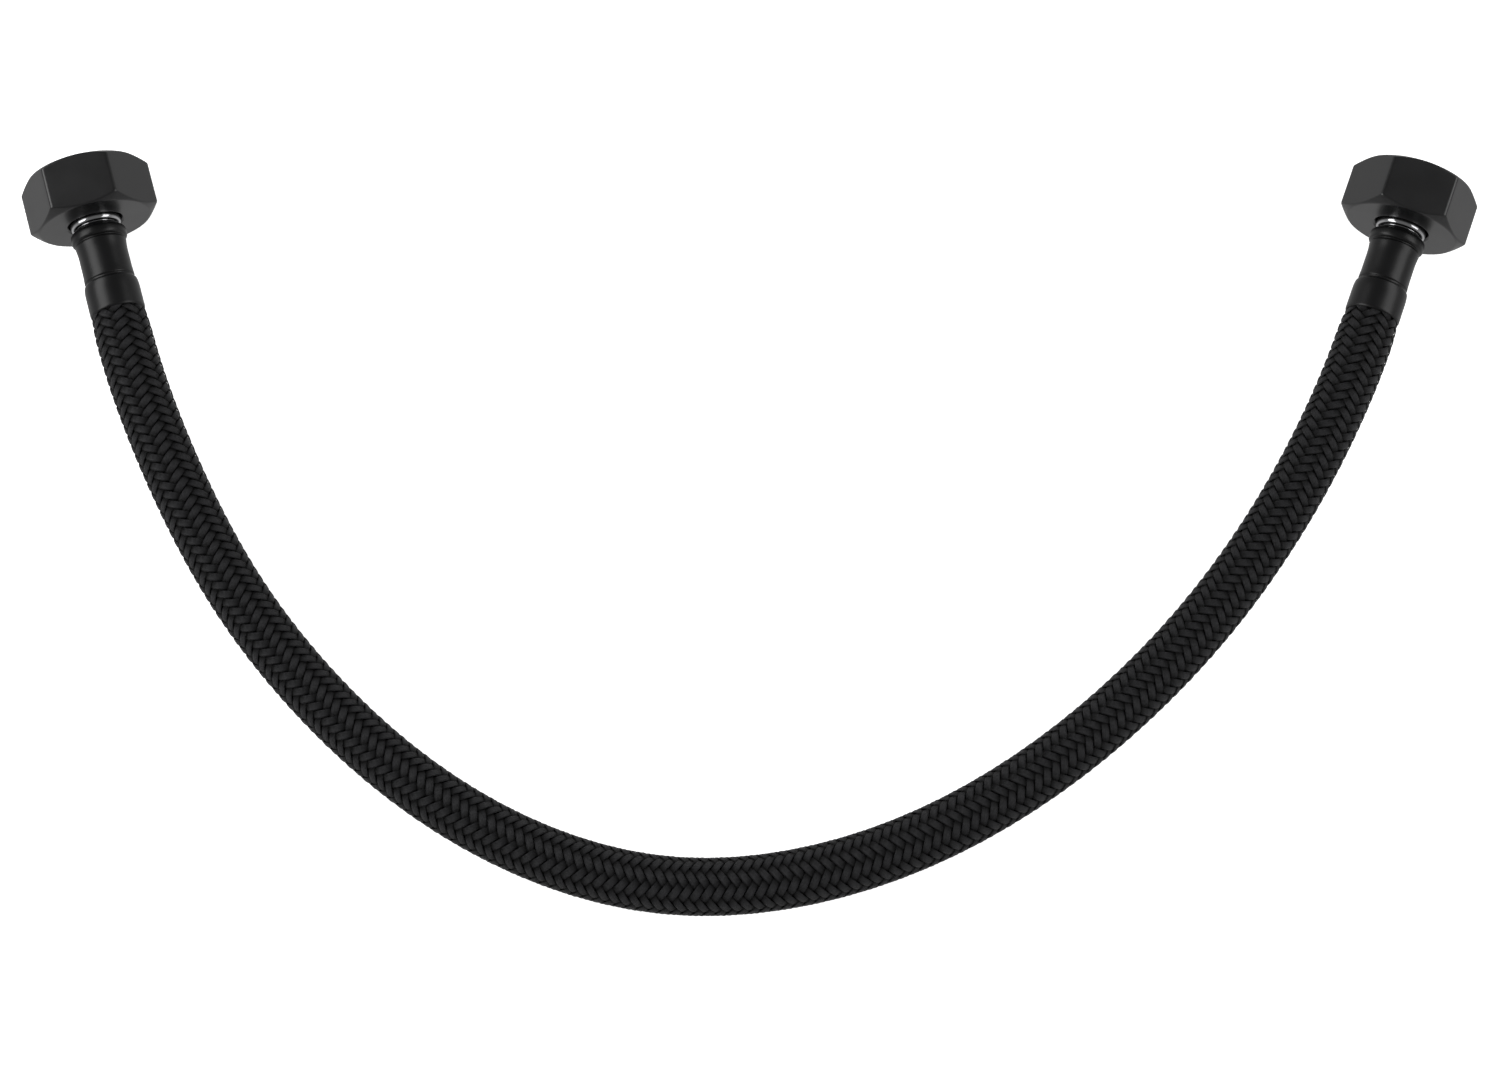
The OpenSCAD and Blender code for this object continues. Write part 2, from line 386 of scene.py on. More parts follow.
def coated_wire(wires):
    """Black-coated fine wires side by side in a bundle, with a painted highlight where it rises over other
    bundles and painted shade where it dips under them.

    The eye sees soft grey strokes where a bundle rises and near black between bundles.
    """
    material = finish_named("black coated braid wire")
    tree = material.node_tree
    colour = colours().wire_black
    place = add(tree, "ShaderNodeTexCoord")
    mottle = add(tree, "ShaderNodeTexNoise", {
        "Vector": place.outputs["Object"], "Scale": 1 / (2.5 * MM), "Detail": 4.0})
    # Painted highlight and shade: the colour is a tenth of the base where a bundle lies level or dips under
    # others, and up to 2.6 times the base where it rises over them.
    rise = add(tree, "ShaderNodeAttribute", attribute_name="rise")
    painted_rise_light = add(tree, "ShaderNodeMapRange", {
        "Value": rise.outputs["Fac"], "From Min": 0.0, "From Max": 1.0,
        "To Min": 0.1, "To Max": 2.6})
    tone = add(tree, "ShaderNodeVectorMath", {
        0: colour, "Scale": painted_rise_light.outputs["Result"]}, operation="SCALE")
    sheen = add(tree, "ShaderNodeMapRange", {
        "Value": mottle.outputs["Fac"], "To Min": 0.36, "To Max": 0.52})
    # Each wire is a round ridge: the arch of a sine across the bundle's width.
    strip = add(tree, "ShaderNodeUVMap", uv_map="UVMap")
    across = add(tree, "ShaderNodeSeparateXYZ", {0: strip.outputs["UV"]})
    turn = add(tree, "ShaderNodeMath", {0: across.outputs["Y"], 1: math.pi * wires}, operation="MULTIPLY")
    swing = add(tree, "ShaderNodeMath", {0: turn.outputs[0]}, operation="SINE")
    ridge = add(tree, "ShaderNodeMath", {0: swing.outputs[0]}, operation="ABSOLUTE")
    bump = add(tree, "ShaderNodeBump", {
        "Height": ridge.outputs[0], "Strength": 1.0, "Distance": 0.05 * MM})
    shader = add(tree, "ShaderNodeBsdfPrincipled", {
        "Base Color": tone.outputs["Vector"], "Roughness": sheen.outputs["Result"],
        "Normal": bump.outputs["Normal"], "IOR": 1.22})
    surface(tree, shader)
    return material


def bright_nickel():
    """Bright nickel on turned brass: a mirror finish, with sharp highlights and a patchy faint haze."""
    material = finish_named("bright nickel plating")
    tree = material.node_tree
    place = add(tree, "ShaderNodeTexCoord")
    haze = add(tree, "ShaderNodeTexNoise", {
        "Vector": place.outputs["Object"], "Scale": 1 / (1.2 * MM), "Detail": 3.0})
    sheen = add(tree, "ShaderNodeMapRange", {
        "Value": haze.outputs["Fac"], "To Min": 0.08, "To Max": 0.2})
    shader = add(tree, "ShaderNodeBsdfPrincipled", {
        "Base Color": rgba(colours().nickel), "Metallic": 1.0, "Roughness": sheen.outputs["Result"]})
    surface(tree, shader)
    return material


def moulded_black(name, colour, roughness, grain_mm, ior):
    """A moulded or extruded black polymer: even, dull, with a fine grain."""
    material = finish_named(name)
    tree = material.node_tree
    place = add(tree, "ShaderNodeTexCoord")
    grain = add(tree, "ShaderNodeTexNoise", {
        "Vector": place.outputs["Object"], "Scale": 1 / (grain_mm * MM), "Detail": 3.0})
    tone = add(tree, "ShaderNodeMix", {
        "Factor": grain.outputs["Fac"], "A": rgba(colour, 0.8), "B": rgba(colour, 1.25)},
        data_type="RGBA")
    bump = add(tree, "ShaderNodeBump", {
        "Height": grain.outputs["Fac"], "Strength": 0.4, "Distance": 0.03 * MM})
    shader = add(tree, "ShaderNodeBsdfPrincipled", {
        "Base Color": tone.outputs["Result"], "Roughness": roughness,
        "Normal": bump.outputs["Normal"], "IOR": ior})
    surface(tree, shader)
    return material


# ---------------------------------------------------------------- the braid's node tree

def braid_tree():
    """Weaves flat bundles of wire round the route curve that is the tree's geometry.

    Each bundle is a closed strip whose points are placed by their index, wrapped round the
    route as a helix, and raised or dipped as it crosses the bundles that run the other way.
    """
    tree = bpy.data.node_groups.new("woven wire sleeve", "GeometryNodeTree")
    inputs = (
        ("Geometry", "NodeSocketGeometry"), ("Carriers", "NodeSocketInt"),
        ("First bundle", "NodeSocketInt"), ("Bundles", "NodeSocketInt"),
        ("Hand", "NodeSocketFloat"), ("Braid angle", "NodeSocketFloat"),
        ("Radius", "NodeSocketFloat"), ("Bundle width", "NodeSocketFloat"),
        ("Wire diameter", "NodeSocketFloat"), ("Weave height", "NodeSocketFloat"),
        ("Steps", "NodeSocketInt"), ("Tuck", "NodeSocketFloat"),
        ("Squeeze", "NodeSocketFloat"), ("Material", "NodeSocketMaterial"),
    )
    for name, kind in inputs:
        tree.interface.new_socket(name=name, in_out="INPUT", socket_type=kind)
    tree.interface.new_socket(name="Geometry", in_out="OUTPUT", socket_type="NodeSocketGeometry")
    given = add(tree, "NodeGroupInput").outputs

    def maths(operation, *values):
        links = dict(enumerate(values))
        return add(tree, "ShaderNodeMath", links, operation=operation).outputs[0]

    def vectors(operation, links):
        return add(tree, "ShaderNodeVectorMath", links, operation=operation).outputs[0]

    # A strip's section has seven points on top, then three below, and u runs across it from 0
    # to 1. Its top falls away towards both edges. The wires are in its material.
    section = 10
    top = 7
    strip = add(tree, "GeometryNodeMeshCylinder", {
        "Vertices": section, "Side Segments": given["Steps"]}, fill_type="NGON")
    index = add(tree, "GeometryNodeInputIndex").outputs[0]
    ring = maths("FLOOR", maths("DIVIDE", maths("ADD", index, 0.5), section))
    place = maths("SUBTRACT", index, maths("MULTIPLY", ring, section))
    is_top = maths("LESS_THAN", place, top - 0.5)
    is_below = maths("SUBTRACT", 1.0, is_top)
    top_u = maths("DIVIDE", place, top - 1)
    below_u = maths("DIVIDE", maths("SUBTRACT", section, place), section - top + 1)
    u = maths("ADD", maths("MULTIPLY", is_top, top_u), maths("MULTIPLY", is_below, below_u))
    y = maths("MULTIPLY", maths("SUBTRACT", u, 0.5), given["Bundle width"])
    off_centre = maths("ABSOLUTE", maths("SUBTRACT", maths("MULTIPLY", u, 2.0), 1.0))
    crown = maths("SUBTRACT", 1.0, maths("POWER", off_centre, 6.0))
    height = maths("MULTIPLY", is_top, maths("ADD", maths("MULTIPLY", crown, 0.5), 0.5))
    z = maths("MULTIPLY", maths("SUBTRACT", height, 0.5), given["Wire diameter"])

    # Lay the strip flat at the braid's angle: s runs along the hose's axis, c round the hose.
    length = add(tree, "GeometryNodeCurveLength", {0: given["Geometry"]}).outputs[0]
    cos_a = maths("COSINE", given["Braid angle"])
    sin_a = maths("SINE", given["Braid angle"])
    x = maths("DIVIDE", maths("MULTIPLY", maths("DIVIDE", ring, given["Steps"]), length), cos_a)
    hand_sin = maths("MULTIPLY", sin_a, given["Hand"])
    s = maths("SUBTRACT", maths("MULTIPLY", x, cos_a), maths("MULTIPLY", y, hand_sin))
    c = maths("ADD", maths("MULTIPLY", x, hand_sin), maths("MULTIPLY", y, cos_a))
    flat = add(tree, "ShaderNodeCombineXYZ", {0: s, 1: c, 2: z}).outputs[0]
    laid = add(tree, "GeometryNodeSetPosition", {"Geometry": strip.outputs["Mesh"], "Position": flat})
    wire_uv = add(tree, "ShaderNodeCombineXYZ", {
        0: maths("DIVIDE", x, given["Wire diameter"]), 1: u}).outputs[0]
    mapped = add(tree, "GeometryNodeStoreNamedAttribute", {
        "Geometry": laid.outputs[0], "Name": "UVMap", "Value": wire_uv},
        data_type="FLOAT2", domain="CORNER")

    # One strip for each bundle, numbered before it becomes mesh.
    starts = add(tree, "GeometryNodeMeshLine", {"Count": given["Bundles"], "Offset": (0.0, 0.0, 0.0)})
    copies = add(tree, "GeometryNodeInstanceOnPoints", {
        "Points": starts.outputs[0], "Instance": mapped.outputs[0]})
    number = maths("ADD", add(tree, "GeometryNodeInputIndex").outputs[0], given["First bundle"])
    numbered = add(tree, "GeometryNodeStoreNamedAttribute", {
        "Geometry": copies.outputs[0], "Name": "bundle", "Value": number},
        data_type="FLOAT", domain="INSTANCE")
    strips = add(tree, "GeometryNodeRealizeInstances", {"Geometry": numbered.outputs[0]})

    # Wrap: the angle round the hose, and where the bundle is among those that it crosses.
    flat_place = add(tree, "GeometryNodeInputPosition").outputs[0]
    along, around, above = add(tree, "ShaderNodeSeparateXYZ", {0: flat_place}).outputs
    bundle = add(tree, "GeometryNodeInputNamedAttribute", {"Name": "bundle"}, data_type="FLOAT").outputs[0]
    step = maths("DIVIDE", 2 * math.pi, given["Carriers"])
    angle = maths("ADD", maths("DIVIDE", around, given["Radius"]), maths("MULTIPLY", bundle, step))
    slope = maths("TANGENT", given["Braid angle"])
    twist = maths("DIVIDE", maths("MULTIPLY", along, slope), given["Radius"])
    met = maths("DIVIDE", maths("ADD", angle, maths("MULTIPLY", twist, given["Hand"])), step)
    crossing = maths("ADD", bundle, met)
    # The wave turns once in four crossings: over two, then under two.
    wave = maths("SINE", maths("MULTIPLY", maths("ADD", crossing, 0.5), math.pi / 2))
    plateau = maths("MINIMUM", maths("MAXIMUM", maths("MULTIPLY", wave, 1.25), -1.0), 1.0)
    # The rise is stored on the points below and drives the painted highlight and shade in the wire's
    # material.
    rise = maths("MULTIPLY", wave, given["Hand"])
    weave = maths("MULTIPLY", maths("MULTIPLY", plateau, given["Hand"]), given["Weave height"])

    # The crimp squeezes the braid where it enters a ferrule. Beyond it the braid opens fast at
    # first and then more slowly.
    from_end = maths("MINIMUM", along, maths("SUBTRACT", length, along))
    ramp = add(tree, "ShaderNodeMapRange", {
        "Value": from_end, "From Min": maths("SUBTRACT", given["Tuck"], 0.5 * MM),
        "From Max": maths("ADD", given["Tuck"], 5 * MM)}).outputs[0]
    free = maths("POWER", ramp, 0.35)
    pinch = maths("MULTIPLY", maths("SUBTRACT", free, 1.0), given["Squeeze"])
    radius = maths("ADD", maths("ADD", given["Radius"], maths("ADD", above, weave)), pinch)

    path = add(tree, "GeometryNodeSampleCurve", {
        "Curves": given["Geometry"], "Length": along}, mode="LENGTH", data_type="FLOAT")
    heading = path.outputs["Tangent"]
    side = vectors("NORMALIZE", {0: vectors("CROSS_PRODUCT", {0: heading, 1: (0.0, 0.0, 1.0)})})
    up = vectors("CROSS_PRODUCT", {0: side, 1: heading})
    sideways = vectors("SCALE", {0: side, "Scale": maths("MULTIPLY", radius, maths("COSINE", angle))})
    upwards = vectors("SCALE", {0: up, "Scale": maths("MULTIPLY", radius, maths("SINE", angle))})
    outwards = vectors("ADD", {0: sideways, 1: upwards})
    world = vectors("ADD", {0: path.outputs["Position"], 1: outwards})
    marked = add(tree, "GeometryNodeStoreNamedAttribute", {
        "Geometry": strips.outputs[0], "Name": "rise", "Value": rise}, data_type="FLOAT", domain="POINT")
    wrapped = add(tree, "GeometryNodeSetPosition", {"Geometry": marked.outputs[0], "Position": world})
    smooth = add(tree, "GeometryNodeSetShadeSmooth", {"Geometry": wrapped.outputs[0]})
    coated = add(tree, "GeometryNodeSetMaterial", {
        "Geometry": smooth.outputs[0], "Material": given["Material"]})
    add(tree, "NodeGroupOutput", {"Geometry": coated.outputs[0]})
    return tree


def set_inputs(modifier, values):
    """Sets a Geometry Nodes modifier's inputs by their sockets' identifiers."""
    for item in modifier.node_group.interface.items_tree:
        if item.in_out == "INPUT" and item.name in values:
            modifier[item.identifier] = values[item.name]


def route_curve(name, points):
    """A poly curve through the points of a route."""
    curve = bpy.data.curves.new(name, "CURVE")
    curve.dimensions = "3D"
    spline = curve.splines.new("POLY")
    spline.points.add(len(points) - 1)
    for target, point in zip(spline.points, points):
        target.co = (*point, 1.0)
    return curve


# ---------------------------------------------------------------- operators

class SUPPLYLINE_OT_stage(bpy.types.Operator):
    """Set up the camera, the pale floor and the soft studio light"""

    bl_idname = "supply_line.stage"
    bl_label = "Stage"

    VIEW_DISTANCE = 0.70
    VIEW_ELEVATION = math.radians(76)
    VIEW_WIDTH = 0.3125
    VIEW_CENTRE = Vector((0, -61.5 * MM, 6 * MM))
    SENSOR_WIDTH = 36
    FLOOR_GLOW = 0.9
    FLOOR_RADIUS = 3.0
    BEND_RADIUS = 0.6
    BEND_STEPS = 9
    SWEEP_HEIGHT = 1.0
    SWEEP_SEGMENTS = 64

    def execute(self, context):
        self.camera(context.scene)
        self.floor()
        self.lights(context.scene)
        return {"FINISHED"}

    def camera(self, scene):
        """Looks at the object from the front and from high up."""
        data = bpy.data.cameras.new("camera")
        data.sensor_width = self.SENSOR_WIDTH
        data.lens = self.SENSOR_WIDTH * self.VIEW_DISTANCE / self.VIEW_WIDTH
        data.clip_start, data.clip_end = 0.01, 20
        camera = bpy.data.objects.new("camera", data)
        back = Vector((0, -math.cos(self.VIEW_ELEVATION), math.sin(self.VIEW_ELEVATION)))
        camera.location = self.VIEW_CENTRE + back * self.VIEW_DISTANCE
        camera.rotation_euler = (math.pi / 2 - self.VIEW_ELEVATION, 0, 0)
        scene.collection.objects.link(camera)
        scene.camera = camera
        scene.view_settings.view_transform = "Standard"

    def floor(self):
        """Plain matt white paper with a fine tooth, lit so evenly that it looks the same all over."""
        paper = finish_named("white paper sweep")
        tree = paper.node_tree
        place = add(tree, "ShaderNodeTexCoord")
        tooth = add(tree, "ShaderNodeTexNoise", {
            "Vector": place.outputs["Object"], "Scale": 1 / (0.8 * MM), "Detail": 2.0})
        bump = add(tree, "ShaderNodeBump", {
            "Height": tooth.outputs["Fac"], "Strength": 0.05, "Distance": 0.02 * MM})
        shader = add(tree, "ShaderNodeBsdfPrincipled", {
            "Base Color": rgba(colours().floor), "Roughness": 0.9, "IOR": 1.2,
            "Normal": bump.outputs["Normal"], "Emission Color": (1, 1, 1, 1),
            "Emission Strength": self.FLOOR_GLOW})
        surface(tree, shader)
        half = self.FLOOR_RADIUS
        floor = self.paper_sheet("floor", [(-half, -half, 0), (half, -half, 0), (half, half, 0),
                                           (-half, half, 0)], [(0, 1, 2, 3)], paper)
        # A rounded bank of the same paper rises all round, which hides the horizon from low views.
        bend = [(half - self.BEND_RADIUS * math.cos(t), self.BEND_RADIUS - self.BEND_RADIUS * math.sin(t))
                for t in np.linspace(math.pi / 2, 0, self.BEND_STEPS)]
        bank = bend + [(half, self.SWEEP_HEIGHT)]
        count, rows = self.SWEEP_SEGMENTS, len(bank)
        turns = np.linspace(0, 2 * math.pi, count, endpoint=False)
        points = [(r * math.cos(a), r * math.sin(a), z) for a in turns for r, z in bank]
        faces = [(a * rows + i, (a + 1) % count * rows + i, (a + 1) % count * rows + i + 1, a * rows + i + 1)
                 for a in range(count) for i in range(rows - 1)]
        sweep = self.paper_sheet("paper sweep", points, faces, paper)
        sweep.visible_diffuse = False
        # Gloss mirrors the dim studio rather than the bright paper, so black edges stay black.
        for sheet in (floor, sweep):
            sheet.visible_glossy = False

    def paper_sheet(self, name, points, faces, paper):
        """A sheet that belongs to the stage and not to the object."""
        mesh = bpy.data.meshes.new(name)
        mesh.from_pydata(points, [], faces)
        mesh.materials.append(paper)
        sheet = bpy.data.objects.new(name, mesh)
        bpy.context.scene.collection.objects.link(sheet)
        return sheet

    def lights(self, scene):
        """A dim even room and a large softbox on each side."""
        world = bpy.data.worlds.new("studio")
        world.use_nodes = True
        # The room is brighter low down, where the paper's light would come from, than overhead.
        tree = world.node_tree
        place = add(tree, "ShaderNodeTexCoord")
        heading = add(tree, "ShaderNodeSeparateXYZ", {0: place.outputs["Generated"]})
        glow = add(tree, "ShaderNodeMapRange", {
            "Value": heading.outputs["Z"], "From Min": -0.5, "From Max": 0.6, "To Min": 0.6, "To Max": 0.2})
        background = tree.nodes["Background"]
        background.inputs["Color"].default_value = (1, 1, 1, 1)
        tree.links.new(glow.outputs["Result"], background.inputs["Strength"])
        scene.world = world
        for name, stand, power in (
            ("left softbox", (-0.57, 0.0, 0.42), 3.4),
            ("right softbox", (0.6, 0.0, 0.42), 2.4),
        ):
            data = bpy.data.lights.new(name, "AREA")
            data.shape = "RECTANGLE"
            data.size, data.size_y = 0.85, 0.4
            data.energy = power
            light = bpy.data.objects.new(name, data)
            light.location = stand
            aim = Vector((0, -0.06, 0)) - Vector(stand)
            light.rotation_euler = aim.to_track_quat("-Z", "Y").to_euler()
            scene.collection.objects.link(light)


class SUPPLYLINE_OT_inner_tube(bpy.types.Operator):
    """Add the rubber inner tube, which carries the water"""

    bl_idname = "supply_line.inner_tube"
    bl_label = "Inner tube"

    SECTION = 40
    # The crimp narrows the tube over a short taper at each end.
    TAPER = 3 * MM
    OUTER_SQUEEZE = 1.1 * MM
    BORE_SQUEEZE = 0.4 * MM

    def execute(self, context):
        hose = context.scene.supply_line_hose
        sizes = context.scene.supply_line_fittings
        route = hose_route(sizes, CRIMPED_LENGTH)
        run, outer, inner = 0.0, [], []
        total = length_of(route)
        for i, point in enumerate(route):
            run += (point - route[i - 1]).length if i else 0.0
            free = min(1.0, max(0.0, (min(run, total - run) - CRIMPED_LENGTH) / self.TAPER))
            outer.append(hose.tube_diameter / 2 - self.OUTER_SQUEEZE * (1 - free))
            inner.append(hose.tube_bore / 2 - self.BORE_SQUEEZE * (1 - free))
        tube = self.sweep(route, outer, inner)
        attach(tube, HOSE_BODY)
        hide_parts("inner_tube")
        return {"FINISHED"}

    def sweep(self, route, outer, inner):
        """A closed tube along the route, with its outer and inner radius at each point."""
        n, count = len(route), self.SECTION
        points = []
        for radii in (outer, inner):
            for i, centre in enumerate(route):
                heading = (route[min(i + 1, n - 1)] - route[max(i - 1, 0)]).normalized()
                side = heading.cross(Vector((0, 0, 1))).normalized()
                up = side.cross(heading)
                for k in range(count):
                    a = 2 * math.pi * k / count
                    points.append(centre + radii[i] * (math.cos(a) * side + math.sin(a) * up))
        wall = n * count
        faces = []
        for k in range(count):
            m = (k + 1) % count
            for start in (0, wall):
                faces += [
                    (start + i * count + k, start + i * count + m,
                     start + (i + 1) * count + m, start + (i + 1) * count + k)
                    for i in range(n - 1)
                ]
            last = (n - 1) * count
            faces.append((k, m, wall + m, wall + k))
            faces.append((last + k, last + m, wall + last + m, wall + last + k))
        rubber = moulded_black("extruded EPDM rubber", colours().rubber, 0.6, 0.4, 1.5)
        return new_object("inner_tube_rubber", points, faces, rubber)


class SUPPLYLINE_OT_braid(bpy.types.Operator):
    bl_idname = "supply_line.braid"
    bl_label = "Braid"

    TUCK = 6 * MM
    SQUEEZE = 0.7 * MM
    STEP = 1.0 * MM
    # Bundles in one piece, and the share of its pitch that a bundle covers.
    GROUP = 4
    COVER = 0.91

    def execute(self, context):
        hose = context.scene.supply_line_hose
        sizes = context.scene.supply_line_fittings
        route = hose_route(sizes, self.TUCK)
        length = length_of(route)
        radius = hose.diameter / 2 - hose.weave_height - hose.wire_diameter / 2
        pitch = 2 * math.pi * radius / hose.carriers * math.cos(hose.helix_angle)
        tree = braid_tree()
        wire = coated_wire(hose.wires)
        pieces = []
        for hand in (1, -1):
            for first in range(0, hose.carriers, self.GROUP):
                curve = route_curve("route", route)
                piece = bpy.data.objects.new("route", curve)
                context.scene.collection.objects.link(piece)
                modifier = piece.modifiers.new("woven wire sleeve", "NODES")
                modifier.node_group = tree
                set_inputs(modifier, {
                    "Carriers": hose.carriers, "First bundle": first, "Bundles": self.GROUP,
                    "Hand": float(hand), "Braid angle": hose.helix_angle, "Radius": radius,
                    "Bundle width": pitch * self.COVER,
                    "Wire diameter": hose.wire_diameter, "Weave height": hose.weave_height,
                    "Steps": round(length / math.cos(hose.helix_angle) / self.STEP),
                    "Tuck": self.TUCK, "Squeeze": self.SQUEEZE, "Material": wire,
                })
                evaluated = piece.evaluated_get(context.evaluated_depsgraph_get())
                mesh = bpy.data.meshes.new_from_object(evaluated)
                bpy.data.objects.remove(piece)
                built = bmesh.new()
                built.from_mesh(mesh)
                if built.calc_volume(signed=True) < 0:
                    bmesh.ops.reverse_faces(built, faces=built.faces)
                    built.to_mesh(mesh)
                built.free()
                way = "right_hand" if hand > 0 else "left_hand"
                bundles = bpy.data.objects.new(f"braid_{way}_{first // self.GROUP + 1}", mesh)
                context.scene.collection.objects.link(bundles)
                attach(bundles, HOSE_BODY)
                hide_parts("braid")
                pieces.append(bundles)
        self.declare(sizes, hose, pieces)
        return {"FINISHED"}

    def declare(self, sizes, hose, braid):
        """Works out the tube's route and where the hose leaves the left ferrule, and keeps neither."""
        route = hose_route(sizes, CRIMPED_LENGTH)
        FITTINGS["left"].station(stations(sizes)["hose"])


class SUPPLYLINE_OT_nuts(bpy.types.Operator):
    """Add the two hex swivel nuts, with their G 1/2 threads"""

    bl_idname = "supply_line.nuts"
    bl_label = "Swivel nuts"

    CORNER_ROUNDING = 0.5 * MM
    CORNER_STEPS = 5
    FLAT_STEPS = 10
    BACK_HOLE = 5.7 * MM
    RELIEF = 10.6 * MM
    BACK_BEVEL = 0.4 * MM
    CHAMFER_SLOPE = math.tan(math.radians(58))
    # Rounding of the outline's corners, from the mouth's face round the outside to the thread.
    FILLETS = [f * MM for f in (0.3, 0.35, 0.35, 0.3, 0.12, 0.12, 0.1, 0, 0, 0)]
    MOUTH_CHAMFER = 1.1 * MM
    THREAD_ROWS = 64
    THREAD_START = 0.1 * MM
    # The thread fades in from FADE_START and fades out before the relief, both over FADE.
    FADE_START = 0.3 * MM
    FADE = 0.8 * MM
    FLANK_STEEPNESS = 1.3

    def execute(self, context):
        sizes = context.scene.supply_line_fittings
        coating = electrophoretic_black("black coated brass nut", colours().nut_black, 0.3, 0.25, 1.55)
        for side, fitting in FITTINGS.items():
            nut = self.nut(side, fitting, sizes, coating)
            crisp(nut)
            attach(nut, side + "_nut")
            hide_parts(side + "_nut")
        return {"FINISHED"}

    def nut(self, side, fitting, sizes, coating):
        """One nut, as wide across its flats as the CAD nut."""
        low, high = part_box(side + "_nut")
        corner = (high[2] - low[2]) / 2 / math.cos(math.radians(30))
        turn = [math.radians(60 * k) for k in range(6)]
        hexagon = rounded([(corner * math.cos(a), corner * math.sin(a)) for a in turn],
                          [self.CORNER_ROUNDING] * 6, self.CORNER_STEPS)
        rim = []
        for i, point in enumerate(hexagon):
            rim.append(point)
            if i % self.CORNER_STEPS == self.CORNER_STEPS - 1:
                onward = hexagon[(i + 1) % len(hexagon)]
                rim += [point + (onward - point) * j / self.FLAT_STEPS for j in range(1, self.FLAT_STEPS)]
        rim = np.array(rim)
        angles = np.arctan2(rim[:, 1], rim[:, 0])
        radius = np.linalg.norm(rim, axis=1)
        outlines = self.outlines(radius, angles, corner, sizes)
        return turned(side + "_hex_nut", fitting, outlines, angles, coating)

    def outlines(self, radius, angles, corner, sizes):
        """The closed outline at each angle: the outside, the back hole and the threaded bore."""
        length = sizes.nut_length
        face = corner - sizes.nut_chamfer * self.CHAMFER_SLOPE
        cut = (radius - face) / self.CHAMFER_SLOPE
        shoulder = length - BACK_WALL
        ones = np.ones_like(radius)
        outside = rounded(
            np.stack([
                np.stack([face * ones, 0 * ones], -1), np.stack([radius, cut], -1),
                np.stack([radius, length - cut], -1), np.stack([face * ones, length * ones], -1),
                np.stack([(self.BACK_HOLE + self.BACK_BEVEL) * ones, length * ones], -1),
                np.stack([self.BACK_HOLE * ones, (length - self.BACK_BEVEL) * ones], -1),
                np.stack([self.BACK_HOLE * ones, shoulder * ones], -1),
                np.stack([self.RELIEF * ones, shoulder * ones], -1),
                np.stack([self.RELIEF * ones, THREAD_DEPTH * ones], -1),
                np.stack([(THREAD_RADIUS + self.MOUTH_CHAMFER) * ones, 0 * ones], -1),
            ], axis=-2),
            self.FILLETS, steps=5)
        rows = np.linspace(THREAD_DEPTH, self.THREAD_START, self.THREAD_ROWS)
        station = rows[None, :] * ones[:, None]
        phase = station / sizes.thread_pitch - angles[:, None] / (2 * math.pi)
        tooth = 0.5 - 0.5 * np.cos(2 * math.pi * phase)
        tooth = np.clip((tooth - 0.5) * self.FLANK_STEEPNESS + 0.5, 0, 1)
        runout = np.clip(np.minimum(THREAD_DEPTH - station, station - self.FADE_START) / self.FADE, 0, 1)
        cone = THREAD_RADIUS + np.maximum(self.MOUTH_CHAMFER - station, 0)
        bore = np.maximum(THREAD_RADIUS + tooth * runout * sizes.thread_height, cone)
        thread = np.stack([bore, station], -1)
        return np.concatenate([outside[:, :-1], thread, outside[:, -1:]], axis=1)


class SUPPLYLINE_OT_inserts(bpy.types.Operator):
    """Add the two bright inserts, with their flanges, necks and barbed tails"""

    bl_idname = "supply_line.inserts"
    bl_label = "Inserts"

    WATERWAY = 2.75 * MM
    FLANGE_RADIUS = 9 * MM
    # Depths below the neck of the groove behind it and of the collar that seats the ferrule.
    GROOVE_DEPTH = 0.95 * MM
    COLLAR_DEPTH = 0.6 * MM
    COLLAR_START = 0.8 * MM
    COLLAR_LENGTH = 0.9 * MM
    TAIL_WALL = 0.75 * MM
    TAIL_INSET = 0.4 * MM
    TAIL_LEAD = 0.8 * MM
    BARBS = 5
    BARB_HEIGHT = 0.3 * MM

    def execute(self, context):
        sizes = context.scene.supply_line_fittings
        nickel = bright_nickel()
        for side, fitting in FITTINGS.items():
            insert = lathe(side + "_nickel_insert", fitting, self.corners(sizes), nickel)
            crisp(insert)
            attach(insert, HOSE_BODY)
            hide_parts(side + "_insert")
        return {"FINISHED"}

    def corners(self, sizes):
        """The insert's outline: flange, neck, groove, collar, barbed tail and waterway."""
        at = stations(sizes)
        neck = sizes.neck_diameter / 2
        groove, collar = neck - self.GROOVE_DEPTH, neck - self.COLLAR_DEPTH
        collar_z = at["ferrule"] + self.COLLAR_START
        tail_z = collar_z + self.COLLAR_LENGTH
        tail = self.WATERWAY + self.TAIL_WALL
        end = at["hose"] - self.TAIL_INSET
        pitch = (end - self.TAIL_LEAD - tail_z) / self.BARBS
        corners = [
            (self.WATERWAY + 0.5 * MM, at["flange"], 0.2 * MM),
            (self.FLANGE_RADIUS, at["flange"], 0.2 * MM),
            (self.FLANGE_RADIUS, at["flange"] + FLANGE, 0.2 * MM),
            (neck, at["flange"] + FLANGE, 0.15 * MM),
            (neck, at["neck_end"], 0.9 * MM), (groove, at["neck_end"], 0.1 * MM),
            (groove, collar_z, 0), (collar, collar_z, 0.1 * MM), (collar, tail_z, 0.1 * MM),
            (tail, tail_z, 0),
        ]
        for i in range(self.BARBS):
            z = tail_z + i * pitch
            corners += [(tail, z + pitch * 0.2, 0), (tail + self.BARB_HEIGHT, z + pitch * 0.2, 0.05 * MM),
                        (tail, z + pitch, 0)]
        corners += [
            (tail - 0.4 * MM, end, 0.1 * MM), (self.WATERWAY, end, 0.1 * MM),
            (self.WATERWAY, at["flange"] + 0.5 * MM, 0.1 * MM),
        ]
        return corners


